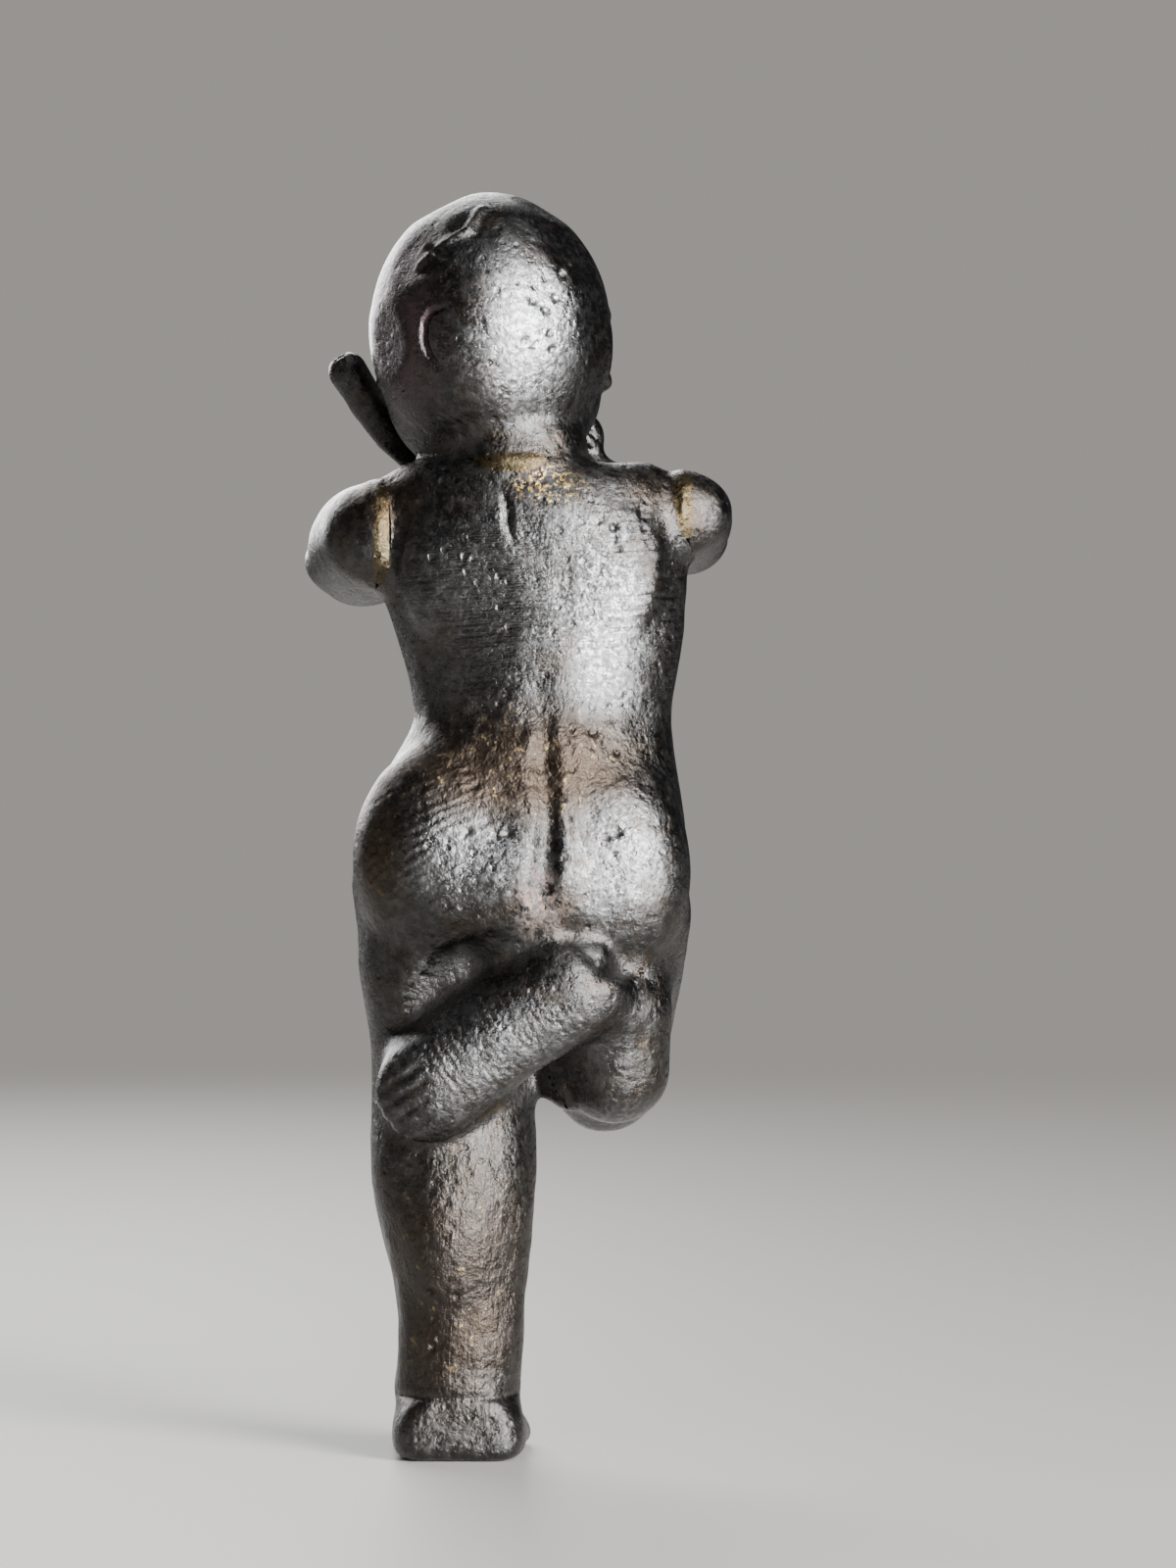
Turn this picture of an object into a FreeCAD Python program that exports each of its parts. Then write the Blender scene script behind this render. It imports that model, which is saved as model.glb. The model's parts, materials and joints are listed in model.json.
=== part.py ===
"""A small cast figure of a dancing child that blows a curved horn, built as brazed sections.

Millimetres, +Z up through the head.  The figure faces -Y and its left hand is towards +X.
The origin is on the sole of the standing foot, below the ankle, so the sole is the plane Z = 0.

Each section is one casting.  It is a loft through rings, it is cut to the surface of the
section that it sits on, and a round tenon on it enters a looser socket in that section.
Beads of braze metal run round some of the joints.
"""
import FreeCAD, Part
import math
import os
import Sketcher

V = FreeCAD.Vector

# ---------------------------------------------------------------- sizes
# Rings of the upright sections: x, y and z of the centre, then the width (X) and depth (Y).
RINGS = {
    "neck": (-2.9, 0.5, 52.4, 7.4, 6.9),
    "yoke": (-3.6, 0.5, 50.6, 11.0, 4.6),
    "collar": (-3.7, 0.5, 50.0, 14.2, 6.8),
    "shoulders": (-3.85, 0.5, 48.4, 15.6, 8.6),
    "chest": (-3.85, 0.1, 45.2, 15.8, 9.8),
    "ribs": (-4.2, -0.1, 41.8, 14.7, 10.2),
    "flank": (-4.35, 0.1, 39.4, 13.6, 9.9),
    "waist": (-4.35, 0.2, 37.5, 13.1, 9.8),
    "loin": (-3.75, 0.5, 34.8, 14.9, 11.0),
    "hip": (-3.3, 0.8, 31.4, 16.8, 12.2),
    "seat": (-3.25, 0.8, 28.0, 17.0, 12.2),
    "fork": (-3.3, 0.5, 25.6, 15.6, 9.6),
    "crotch": (-3.3, 0.4, 24.8, 12.4, 6.6),
}
# Round rings of the standing leg: x, y and z of the centre, then the diameter.
LEG_RINGS = {
    "leg_top": (0.75, 0.5, 29.0, 8.7),
    "upper_thigh": (0.68, 0.45, 26.6, 8.75),
    "thigh": (0.6, 0.4, 24.2, 8.7),
    "above_knee": (0.32, 0.1, 20.4, 8.1),
    "knee": (0.22, 0.0, 17.0, 8.5),
    "calf": (0.17, 0.5, 14.0, 8.4),
    "low_calf": (0.02, 0.6, 11.0, 7.5),
    "shank": (-0.2, 0.4, 8.0, 6.6),
    "low_shank": (-0.15, 0.3, 5.2, 6.4),
    "ankle": (-0.1, 0.2, 2.4, 6.4),
}
# Rings across the standing foot: y and z of the centre, then the width and the height.
FOOT_RINGS = {
    "heel_back": (3.4, 1.2, 5.4, 5.0),
    "heel": (1.6, 1.2, 6.9, 6.2),
    "instep": (-1.6, 1.0, 6.8, 6.0),
    "ball": (-4.6, 0.6, 7.4, 4.0),
    "toes": (-7.0, 0.5, 5.6, 2.6),
}
# Centres of the joints between the sections: x, y, z.  The x of a shoulder is measured from the
# end of the shoulders' ring, so that the arms go with its width.
POINTS = {
    "left_shoulder": (0.35, 0.4, 46.9),
    "left_elbow": (5.4, -8.8, 46.0),
    "left_wrist": (1.9, -8.6, 48.4),
    "left_palm": (1.1, -7.7, 49.0),
    "left_fingers": (0.1, -6.4, 49.7),
    "right_shoulder": (-0.25, 0.4, 48.0),
    "right_elbow": (-11.6, -8.3, 47.2),
    "right_wrist": (-5.3, -9.4, 51.2),
    "right_palm": (-6.2, -9.2, 52.5),
    "right_fingers": (-4.2, -8.8, 52.7),
    "bent_hip": (-7.75, 0.6, 27.6),
    "bent_knee": (-7.55, -6.9, 18.85),
    "bent_ankle": (-7.0, 3.8, 23.5),
    "bent_heel": (-6.7, 5.4, 24.2),
    "bent_toes": (2.0, 5.4, 18.4),
    "mouth": (-2.6, -7.5, 53.2),
}
# Straight sections: the points at both ends, the diameters there, and how far the side bulges.
LIMBS = {
    "left_upper_arm": ("left_shoulder", "left_elbow", 5.4, 4.6, 0.5),
    "left_forearm": ("left_elbow", "left_wrist", 4.1, 2.5, 0.2),
    "left_hand": ("left_palm", "left_fingers", 3.2, 3.4, 0.1),
    "right_upper_arm": ("right_shoulder", "right_elbow", 4.3, 4.1, 0.2),
    "right_forearm": ("right_elbow", "right_wrist", 3.9, 2.3, 0.2),
    "right_hand": ("right_palm", "right_fingers", 2.9, 2.8, 0.1),
    "bent_thigh": ("bent_hip", "bent_knee", 8.4, 5.6, 0.15),
    "bent_shin": ("bent_knee", "bent_ankle", 5.0, 4.0, 0.6),
}
# Ellipsoids of the head: x, y and z of the centre, then the half sizes along X, Y and Z.
BALLS = {
    "skull": (-1.65, -0.8, 57.4, 6.2, 6.7, 7.1),
    "jaw": (-1.8, -1.6, 54.6, 5.6, 5.4, 5.0),
}
# Tenons: the diameter, then where the deep end and the root are along the joint's axis.
TENONS = {
    "neck": (3.2, -2.4, 1.6),
    "waist": (5.0, -2.4, 1.4),
    "left_shoulder": (2.4, -2.6, 1.0),
    "right_shoulder": (2.0, -2.6, 0.8),
    "left_elbow": (1.6, 0.6, 3.2),
    "right_elbow": (1.5, 0.6, 3.0),
    "standing_hip": (3.8, -2.6, 1.6),
    "standing_ankle": (3.0, -0.6, 3.4),
    "bent_hip": (3.6, 1.6, 5.4),
    "bent_knee": (2.2, 1.4, 4.6),
    "bent_ankle": (2.0, -1.8, 2.7),
}
SINGLE = {
    # The horn: a stem from the lips, a tight bend, then a slow curve up to the bell.
    "horn_turn": 20.0,
    "horn_slope": 55.0,
    "horn_stem_length": 2.5,
    "horn_bend_radius": 2.2,
    "horn_bend_arc": 93.0,
    "horn_bell_radius": 17.0,
    "horn_bell_arc": 21.0,
    "horn_width": 1.9,
    "horn_thickness": 1.5,
    # The foot of the bent leg.
    "bent_heel_width": 4.6,
    "bent_heel_thickness": 3.8,
    "bent_arch_width": 4.4,
    "bent_arch_thickness": 3.0,
    "bent_toe_width": 4.9,
    "bent_toe_thickness": 2.6,
    # Fits and beads.
    "socket_gap": 0.05,
    "socket_end_gap": 0.2,
    "bead_width": 1.2,
    "bead_height": 0.35,
    "bead_lift": 0.4,
    "crossing_length": 3.8,
    "crossing_diameter": 1.5,
    "crossing_bulge": 0.1,
    "crossing_share": 0.72,
}

doc = FreeCAD.newDocument("figure")
sheet = doc.addObject("Spreadsheet::Sheet", "dims")
cells = {}


def add_cell(alias, value):
    """One named size in the sheet."""
    row = len(cells) + 1
    cells[alias] = value
    sheet.set(f"A{row}", alias)
    sheet.set(f"B{row}", repr(float(value)))
    sheet.setAlias(f"B{row}", alias)


def add_cells(group, parts, prefix="", skip=0):
    for name, values in group.items():
        for part, value in zip(parts, values[skip:]):
            add_cell(f"{prefix}{name}_{part}", value)


add_cells(RINGS, ("x", "y", "z", "width", "depth"))
add_cells(LEG_RINGS, ("x", "y", "z", "diameter"))
add_cells(FOOT_RINGS, ("y", "z", "width", "height"), prefix="foot_")
add_cells(POINTS, ("x", "y", "z"))
add_cells(LIMBS, ("start", "end", "bulge"), skip=2)
add_cells(BALLS, ("x", "y", "z", "half_x", "half_y", "half_z"))
add_cells(TENONS, ("tenon", "deep", "root"))
for alias, value in SINGLE.items():
    add_cell(alias, value)
doc.recompute()

# ---------------------------------------------------------------- expressions
NO_TURN = "rotation(0; 0; 0)"
DOWN = "rotation(0; 180; 0)"


RING_ENDS = {
    "left_shoulder": "dims.shoulders_x + dims.shoulders_width / 2",
    "right_shoulder": "dims.shoulders_x - dims.shoulders_width / 2",
}


def point(name):
    """The three expressions of a named centre."""
    x, y, z = (f"dims.{name}_{axis}" for axis in "xyz")
    if name in RING_ENDS:
        x = f"({RING_ENDS[name]} + {x})"
    return x, y, z


def middle(start, end):
    return tuple(f"({a} + {b}) / 2" for a, b in zip(start, end))


def placed(base, turn=NO_TURN):
    return f"placement(vector({base[0]}; {base[1]}; {base[2]}); {turn})"


def steps(start, end):
    return tuple(f"({b} - ({a}))" for a, b in zip(start, end))


def span(start, end):
    """The length from one centre to another."""
    squares = " + ".join(f"{step}^2" for step in steps(start, end))
    return f"sqrt({squares})"


def heading(start, end):
    """The rotation that turns +Z to the line from one centre to another."""
    along_x, along_y, along_z = steps(start, end)
    return f"rotation(atan2({along_y}; {along_x}); acos({along_z} / {span(start, end)}); 0)"


def along(distance, turn=NO_TURN):
    """A step up the Z axis."""
    return placed(("0", "0", distance), turn)


# ---------------------------------------------------------------- sketches and features
def new_body(name, placement=None):
    body = doc.addObject("PartDesign::Body", name)
    if placement:
        body.setExpression("Placement", placement)
    return body


def new_sketch(body, name, offset=None, plane="XY_Plane"):
    sketch = body.newObject("Sketcher::SketchObject", name)
    support = next(f for f in body.Origin.OriginFeatures if f.Role == plane)
    sketch.AttachmentSupport = (support, [""])
    sketch.MapMode = "FlatFace"
    if offset:
        sketch.setExpression("AttachmentOffset", offset)
    return sketch


def drive(sketch, name, size, kind, *where):
    """Adds a dimension to a sketch and binds it to an expression."""
    index = sketch.addConstraint(Sketcher.Constraint(kind, *where))
    sketch.renameConstraint(index, name)
    sketch.setExpression(f"Constraints.{name}", size)


def circle_ring(body, name, diameter, offset):
    sketch = new_sketch(body, name, offset)
    sketch.addGeometry(Part.Circle(V(), V(0, 0, 1), 1.0))
    sketch.addConstraint(Sketcher.Constraint("Coincident", 0, 3, -1, 1))
    drive(sketch, "diameter", diameter, "Diameter", 0, 2.0)
    return sketch


def oval_ring(body, name, width, depth, offset, plane="XY_Plane"):
    """An ellipse whose longer axis is the width, along the sketch's X."""
    sketch = new_sketch(body, name, offset, plane)
    sketch.addGeometry(Part.Ellipse(V(2, 0, 0), V(0, 1, 0), V()))
    sketch.exposeInternalGeometry(0)
    sketch.addConstraint(Sketcher.Constraint("Coincident", 0, 3, -1, 1))
    sketch.addConstraint(Sketcher.Constraint("Horizontal", 1))
    drive(sketch, "width", width, "Distance", 1, 4.0)
    drive(sketch, "depth", depth, "Distance", 2, 2.0)
    return sketch


def loft(body, rings):
    feature = body.newObject("PartDesign::AdditiveLoft", body.Name + "_loft")
    feature.Profile = (rings[0], [""])
    feature.Sections = [(ring, [""]) for ring in rings[1:]]
    doc.recompute()
    return body


def add_ellipsoid(body, name, half_sizes, placement):
    feature = body.newObject("PartDesign::AdditiveEllipsoid", name)
    for radius, size in zip(("Radius2", "Radius3", "Radius1"), half_sizes):
        feature.setExpression(radius, size)
    feature.setExpression("Placement", placement)
    doc.recompute()
    return feature


# ---------------------------------------------------------------- blanks of the sections
def upright_blank(name, ring_names):
    body = new_body(name)
    return loft(
        body,
        [
            oval_ring(body, f"{name}_{r}", f"dims.{r}_width", f"dims.{r}_depth", placed(point(r)))
            for r in ring_names
        ],
    )


def ball_blank(name, ball_names):
    body = new_body(name)
    for b in ball_names:
        half_sizes = [f"dims.{b}_half_{axis}" for axis in "xyz"]
        add_ellipsoid(body, f"{name}_{b}", half_sizes, placed(point(b)))
    return body


def neck_blank():
    """A straight oval neck from inside the shoulders to inside the head."""
    body = new_body("neck_blank")
    low = ("dims.neck_x", "dims.neck_y", "dims.shoulders_z")
    rings = [
        oval_ring(body, f"neck_{end}", "dims.neck_width", "dims.neck_depth", placed(centre))
        for end, centre in (("low", low), ("high", point("neck")))
    ]
    return loft(body, rings)


def standing_leg_blank():
    body = new_body("standing_leg_blank")
    rings = [circle_ring(body, f"ring_{r}", f"dims.{r}_diameter", placed(point(r))) for r in LEG_RINGS]
    return loft(body, rings)


def standing_foot_blank():
    """Rings across the foot, with all that is below the sole cut off."""
    body = new_body("standing_foot_blank")
    rings = []
    for r in FOOT_RINGS:
        # The sketch plane faces -Y, so its own Z runs against the foot's Y.
        offset = placed(("dims.ankle_x", f"dims.foot_{r}_z", f"-dims.foot_{r}_y"))
        width, height = f"dims.foot_{r}_width", f"dims.foot_{r}_height"
        rings.append(oval_ring(body, f"ring_{r}", width, height, offset, "XZ_Plane"))
    loft(body, rings)
    block = body.newObject("PartDesign::SubtractiveBox", "below_sole")
    block.Length = block.Width = block.Height = 40.0
    block.Placement = FreeCAD.Placement(V(-20, -20, -40), FreeCAD.Rotation())
    doc.recompute()
    return body


def turned_blank(name, placement, length, first, last, bulge, rough):
    """A round bar turned from a half profile: a ball at both ends and a side that bulges.

    The sizes are expressions.  rough holds the radii that the profile is first drawn with.
    """
    body = new_body(name, placement)
    chord = f"({length}^2 + ({first} - {last})^2)"
    side_radius = f"({chord} / 4 + {bulge}^2) / (2 * {bulge})"
    low, high = rough
    far, quarter, normal = 9.0, math.pi / 2, V(0, 0, 1)
    profile = new_sketch(body, f"{name}_profile", plane="XZ_Plane")
    profile.addGeometry(Part.LineSegment(V(0, far + high, 0), V(0, -low, 0)))
    profile.addGeometry(Part.ArcOfCircle(Part.Circle(V(), normal, low), -quarter, 0))
    profile.addGeometry(Part.Arc(V(low, 0, 0), V((low + high) / 2 + 0.3, far / 2, 0), V(high, far, 0)))
    profile.addGeometry(Part.ArcOfCircle(Part.Circle(V(0, far, 0), normal, high), 0, quarter))
    for rule in (
        ("PointOnObject", 0, 1, -2),
        ("Coincident", 1, 3, -1, 1),
        ("Coincident", 0, 2, 1, 1),
        ("PointOnObject", 1, 2, -1),
        ("Coincident", 1, 2, 2, 1),
        ("PointOnObject", 3, 3, -2),
        ("Coincident", 2, 2, 3, 1),
        ("Horizontal", 3, 1, 3, 3),
        ("Coincident", 3, 2, 0, 1),
        ("PointOnObject", 0, 2, -2),
    ):
        profile.addConstraint(Sketcher.Constraint(*rule))
    drive(profile, "first_radius", first, "Radius", 1, low)
    drive(profile, "last_radius", last, "Radius", 3, high)
    drive(profile, "length", length, "DistanceY", -1, 1, 3, 3, far)
    drive(profile, "side_radius", side_radius, "Radius", 2, 60.0)
    turned = body.newObject("PartDesign::Revolution", f"{name}_turned")
    turned.Profile = (profile, [""])
    turned.ReferenceAxis = (profile, ["V_Axis"])
    turned.Angle = 360
    doc.recompute()
    return body


def limb_blank(name):
    """A straight section from one joint to the next."""
    start, end = (point(joint) for joint in LIMBS[name][:2])
    first, last = (f"dims.{name}_{part} / 2" for part in ("start", "end"))
    rough = (LIMBS[name][2] / 2, LIMBS[name][3] / 2)
    frame = placed(start, heading(start, end))
    return turned_blank(
        f"{name}_blank", frame, span(start, end), first, last, f"dims.{name}_bulge", rough
    )


def bent_foot_blank():
    """Rings across the line from the heel to the toes, smaller at both tips."""
    heel, toes = point("bent_heel"), point("bent_toes")
    body = new_body("bent_foot_blank", placed(heel, heading(heel, toes)))
    length = span(heel, toes)
    # Part of the foot, distance from the heel and share of the ring's size.
    places = (
        ("heel", "-0.36 * dims.bent_heel_width", "* 0.5"),
        ("heel", "0", ""),
        ("arch", f"{length} / 2", ""),
        ("toe", length, ""),
        ("toe", f"{length} + 0.36 * dims.bent_toe_width", "* 0.5"),
    )
    rings = []
    for number, (part, distance, share) in enumerate(places):
        width, thickness = f"dims.bent_{part}_width {share}", f"dims.bent_{part}_thickness {share}"
        rings.append(oval_ring(body, f"foot_{number}", width, thickness, along(distance)))
    return loft(body, rings)


def horn_blank():
    """A tube of oval section in an upright plane that is turned from the X axis.

    The path starts at the lips and runs down, round the bend and up to the bell.
    """
    body = new_body("horn_blank", placed(point("mouth"), "rotation(dims.horn_turn; 0; 0)"))
    spine = new_sketch(body, "horn_spine", plane="XZ_Plane")
    spine.addGeometry(Part.LineSegment(V(0, 0, 0), V(1, -1, 0)))
    bend = Part.Circle(V(2.5, 0.5, 0), V(0, 0, 1), 2.0)
    spine.addGeometry(Part.ArcOfCircle(bend, -2.4, -0.8))
    bell = Part.Circle(V(-8, 12, 0), V(0, 0, 1), 17.0)
    spine.addGeometry(Part.ArcOfCircle(bell, -0.8, -0.5))
    spine.addConstraint(Sketcher.Constraint("Coincident", 0, 1, -1, 1))
    spine.addConstraint(Sketcher.Constraint("Tangent", 0, 2, 1, 1))
    spine.addConstraint(Sketcher.Constraint("Tangent", 1, 2, 2, 1))
    drive(spine, "stem", "dims.horn_stem_length", "Distance", 0, 2.4)
    drive(spine, "slope", "-dims.horn_slope * 1 deg", "Angle", 0, -0.96)
    drive(spine, "bend", "dims.horn_bend_radius", "Radius", 1, 2.2)
    drive(spine, "bend_arc", "dims.horn_bend_arc * 1 deg", "Angle", 1, 1.62)
    drive(spine, "bell", "dims.horn_bell_radius", "Radius", 2, 17.0)
    drive(spine, "bell_arc", "dims.horn_bell_arc * 1 deg", "Angle", 2, 0.35)
    oval = oval_ring(
        body,
        "horn_oval",
        "dims.horn_width",
        "dims.horn_thickness",
        "placement(vector(0; 0; 0); rotation(0; 90 + dims.horn_slope; 0))",
    )
    tube = body.newObject("PartDesign::AdditivePipe", "horn_tube")
    tube.Profile = (oval, [""])
    tube.Spine = (spine, [""])
    doc.recompute()
    # The bell's end is closed and round.
    down = "dims.horn_slope * 1 deg"
    rise = "(dims.horn_bend_arc - dims.horn_slope) * 1 deg"
    last = "(dims.horn_bend_arc - dims.horn_slope + dims.horn_bell_arc) * 1 deg"
    stem, bend, bell = (f"dims.horn_{p}" for p in ("stem_length", "bend_radius", "bell_radius"))
    out = (
        f"{stem} * cos({down}) + {bend} * (sin({down}) + sin({rise}))"
        f" + {bell} * (sin({last}) - sin({rise}))"
    )
    up = (
        f"-{stem} * sin({down}) + {bend} * (cos({down}) - cos({rise}))"
        f" + {bell} * (cos({rise}) - cos({last}))"
    )
    cap = placed((out, "0", up), f"rotation(0; 90 - {last} / 1 deg; 0)")
    half_sizes = ("dims.horn_width / 2", "dims.horn_thickness / 2", "dims.horn_thickness / 2")
    add_ellipsoid(body, "horn_end", half_sizes, cap)
    return body


# ---------------------------------------------------------------- joining
sections = {}
tenons = {}
sockets = {}


def cut(base, tools, name):
    """The base without its tools, one Part::Cut after another."""
    made = base
    for number, tool in enumerate(tools):
        step = doc.addObject("Part::Cut", f"{name}_{number}")
        step.Base = made
        step.Tool = tool
        step.Refine = False
        made = step
    doc.recompute()
    return made


def fuse(shapes, name):
    made = doc.addObject("Part::MultiFuse", name)
    made.Shapes = shapes
    made.Refine = False
    doc.recompute()
    return made


def rod(name, diameter, length, placement):
    made = doc.addObject("Part::Cylinder", name)
    made.setExpression("Radius", f"({diameter}) / 2")
    made.setExpression("Height", length)
    made.setExpression("Placement", placement)
    return made


def join(name, frame):
    """The tenon and the socket of a joint, along the Z axis of the frame.

    The socket is wider and deeper than the tenon.  Both are made here, from the same sizes.
    """
    deep, length = f"dims.{name}_deep", f"dims.{name}_root - dims.{name}_deep"
    start = f"{frame} * {along(deep)}"
    tenons[name] = rod(f"{name}_tenon_rod", f"dims.{name}_tenon", length, start)
    bottom = along(f"{deep} - dims.socket_end_gap")
    width = f"dims.{name}_tenon + 2 * dims.socket_gap"
    length = f"{length} + dims.socket_end_gap"
    sockets[name] = rod(f"{name}_socket_rod", width, length, f"{frame} * {bottom}")


def section(node, blank, sits_on=(), pins=(), holes=()):
    """One finished section: a blank with its tenons, cut to its neighbours but for the tenons."""
    made = blank
    rods = [tenons[pin] for pin in pins]
    if rods:
        made = fuse([blank] + rods, f"{node}_with_tenon")
    for neighbour in sits_on:
        around_rods = cut(neighbour, rods, f"{node}_seat_{neighbour.Name}")
        made = cut(made, [around_rods], f"{node}_off_{neighbour.Name}")
    made = cut(made, [sockets[hole] for hole in holes], f"{node}_bored")
    made.Label = node
    sections[node] = made
    return made


def shoulder_frame(side):
    """From the chest's axis to the shoulder, with the shoulder as the origin."""
    shoulder = point(f"{side}_shoulder")
    inner = ("dims.shoulders_x", "dims.shoulders_y", f"dims.{side}_shoulder_z")
    return placed(shoulder, heading(inner, shoulder))


neck_base = ("dims.neck_x", "dims.neck_y", "dims.collar_z")
thigh_middle = middle(point("bent_hip"), point("bent_knee"))
shin_middle = middle(point("bent_knee"), point("bent_ankle"))
join("neck", placed(neck_base))
join("waist", placed(point("waist")))
join("left_shoulder", shoulder_frame("left"))
join("right_shoulder", shoulder_frame("right"))
for side in ("left", "right"):
    elbow, wrist = point(f"{side}_elbow"), point(f"{side}_wrist")
    join(f"{side}_elbow", placed(elbow, heading(elbow, wrist)))
join("standing_hip", placed(point("thigh"), DOWN))
join("standing_ankle", placed(point("ankle")))
join("bent_hip", placed(point("bent_hip"), heading(point("bent_hip"), point("bent_knee"))))
join("bent_knee", placed(thigh_middle, heading(thigh_middle, shin_middle)))
join("bent_ankle", placed(point("bent_ankle"), heading(point("bent_knee"), point("bent_ankle"))))

torso_blank = upright_blank("torso_blank", ["waist", "flank", "ribs", "chest", "shoulders", "collar", "yoke"])
hips_blank = upright_blank("hips_blank", ["waist", "loin", "hip", "seat", "fork", "crotch"])
head_blank = fuse([ball_blank("head_ball", ["skull", "jaw"]), neck_blank()], "head_blank")
leg_blank = standing_leg_blank()
foot_blank = standing_foot_blank()
limbs = {name: limb_blank(name) for name in LIMBS}
crossing_foot_blank = bent_foot_blank()
horn = horn_blank()

section("torso", torso_blank, pins=["waist"], holes=["neck", "left_shoulder", "right_shoulder"])
section("hips", hips_blank, holes=["waist", "standing_hip", "bent_hip"])
section("curved_horn", horn)
section("head", head_blank, [torso_blank, horn], pins=["neck"])
section(
    "left_upper_arm",
    limbs["left_upper_arm"],
    [torso_blank],
    pins=["left_shoulder"],
    holes=["left_elbow"],
)
section("left_forearm", limbs["left_forearm"], [limbs["left_upper_arm"]], pins=["left_elbow"])
section("left_hand", limbs["left_hand"], [limbs["left_forearm"], horn, head_blank])
section(
    "right_upper_arm",
    limbs["right_upper_arm"],
    [torso_blank],
    pins=["right_shoulder"],
    holes=["right_elbow"],
)
section("right_forearm", limbs["right_forearm"], [limbs["right_upper_arm"]], pins=["right_elbow"])
section("right_hand", limbs["right_hand"], [limbs["right_forearm"], horn, head_blank])
section(
    "standing_leg",
    leg_blank,
    [hips_blank, foot_blank],
    pins=["standing_hip", "standing_ankle"],
)
section("standing_foot", foot_blank, holes=["standing_ankle"])
section(
    "bent_thigh",
    limbs["bent_thigh"],
    [hips_blank, leg_blank],
    pins=["bent_hip"],
    holes=["bent_knee", "bent_ankle"],
)
section(
    "bent_shin",
    limbs["bent_shin"],
    [limbs["bent_thigh"], hips_blank, leg_blank],
    pins=["bent_knee"],
    holes=["bent_ankle"],
)
section(
    "bent_foot",
    crossing_foot_blank,
    [limbs["bent_shin"], limbs["bent_thigh"], hips_blank, leg_blank],
    pins=["bent_ankle"],
)


# ---------------------------------------------------------------- beads of braze metal
def ring_bead(node, mean_diameter, placement, neighbours):
    """A bead round a seam: a round disc with a rounded rim, cut to the sections at both sides."""
    body = new_body(f"{node}_blank", placement)
    disc = body.newObject("PartDesign::AdditiveCylinder", f"{node}_disc")
    disc.setExpression("Radius", f"({mean_diameter}) / 2 + dims.bead_height")
    disc.setExpression("Height", "dims.bead_width")
    disc.setExpression("Placement", along("-dims.bead_width / 2"))
    doc.recompute()
    rims = [
        f"Edge{number}"
        for number, edge in enumerate(disc.Shape.Edges, 1)
        if isinstance(edge.Curve, Part.Circle)
    ]
    rim = body.newObject("PartDesign::Fillet", f"{node}_rim")
    rim.Base = (disc, rims)
    rim.setExpression("Radius", "dims.bead_width * 0.4")
    doc.recompute()
    section(node, body, neighbours)


ring_bead(
    "neck_braze",
    "(dims.neck_width + dims.neck_depth) / 2",
    f"{placed(neck_base)} * {along('dims.bead_lift')}",
    [torso_blank, head_blank],
)
for side in ("left", "right"):
    ring_bead(
        f"{side}_shoulder_braze",
        f"dims.{side}_upper_arm_start",
        f"{shoulder_frame(side)} * {along('-dims.bead_lift')}",
        [torso_blank, limbs[f"{side}_upper_arm"]],
    )

# The bead that holds the crossing foot lies in the corner between its lower edge and the knee.
heel, toes = point("bent_heel"), point("bent_toes")
bead_start = (
    "dims.bent_arch_width * 0.36",
    "-dims.bent_arch_thickness * 0.47",
    f"{span(heel, toes)} * dims.crossing_share - dims.crossing_length / 2",
)
crossing_blank = turned_blank(
    "crossing_blank",
    f"{placed(heel, heading(heel, toes))} * {placed(bead_start)}",
    "dims.crossing_length",
    "dims.crossing_diameter / 2",
    "dims.crossing_diameter / 2",
    "dims.crossing_bulge",
    (SINGLE["crossing_diameter"] / 2,) * 2,
)
section("crossing_braze", crossing_blank, [leg_blank, crossing_foot_blank])

# ---------------------------------------------------------------- output
doc.recompute()
faults = [o.Name for o in doc.Objects if {"Invalid", "Error"} & set(o.State)]
assert not faults, f"objects that did not compute: {faults}"
os.makedirs("parts", exist_ok=True)
for node, made in sections.items():
    assert not made.Shape.isNull() and made.Shape.isValid(), f"{node} has no valid shape"
    print(node, len(made.Shape.Solids), round(made.Shape.Volume, 1))
    made.Shape.exportStep(f"parts/{node}.step")
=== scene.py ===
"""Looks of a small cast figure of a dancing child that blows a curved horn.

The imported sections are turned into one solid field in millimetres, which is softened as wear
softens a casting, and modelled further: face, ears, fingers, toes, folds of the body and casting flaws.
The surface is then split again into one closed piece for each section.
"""

import json
import math

import bpy
import numpy as np
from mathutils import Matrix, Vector
from mathutils.bvhtree import BVHTree


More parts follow.
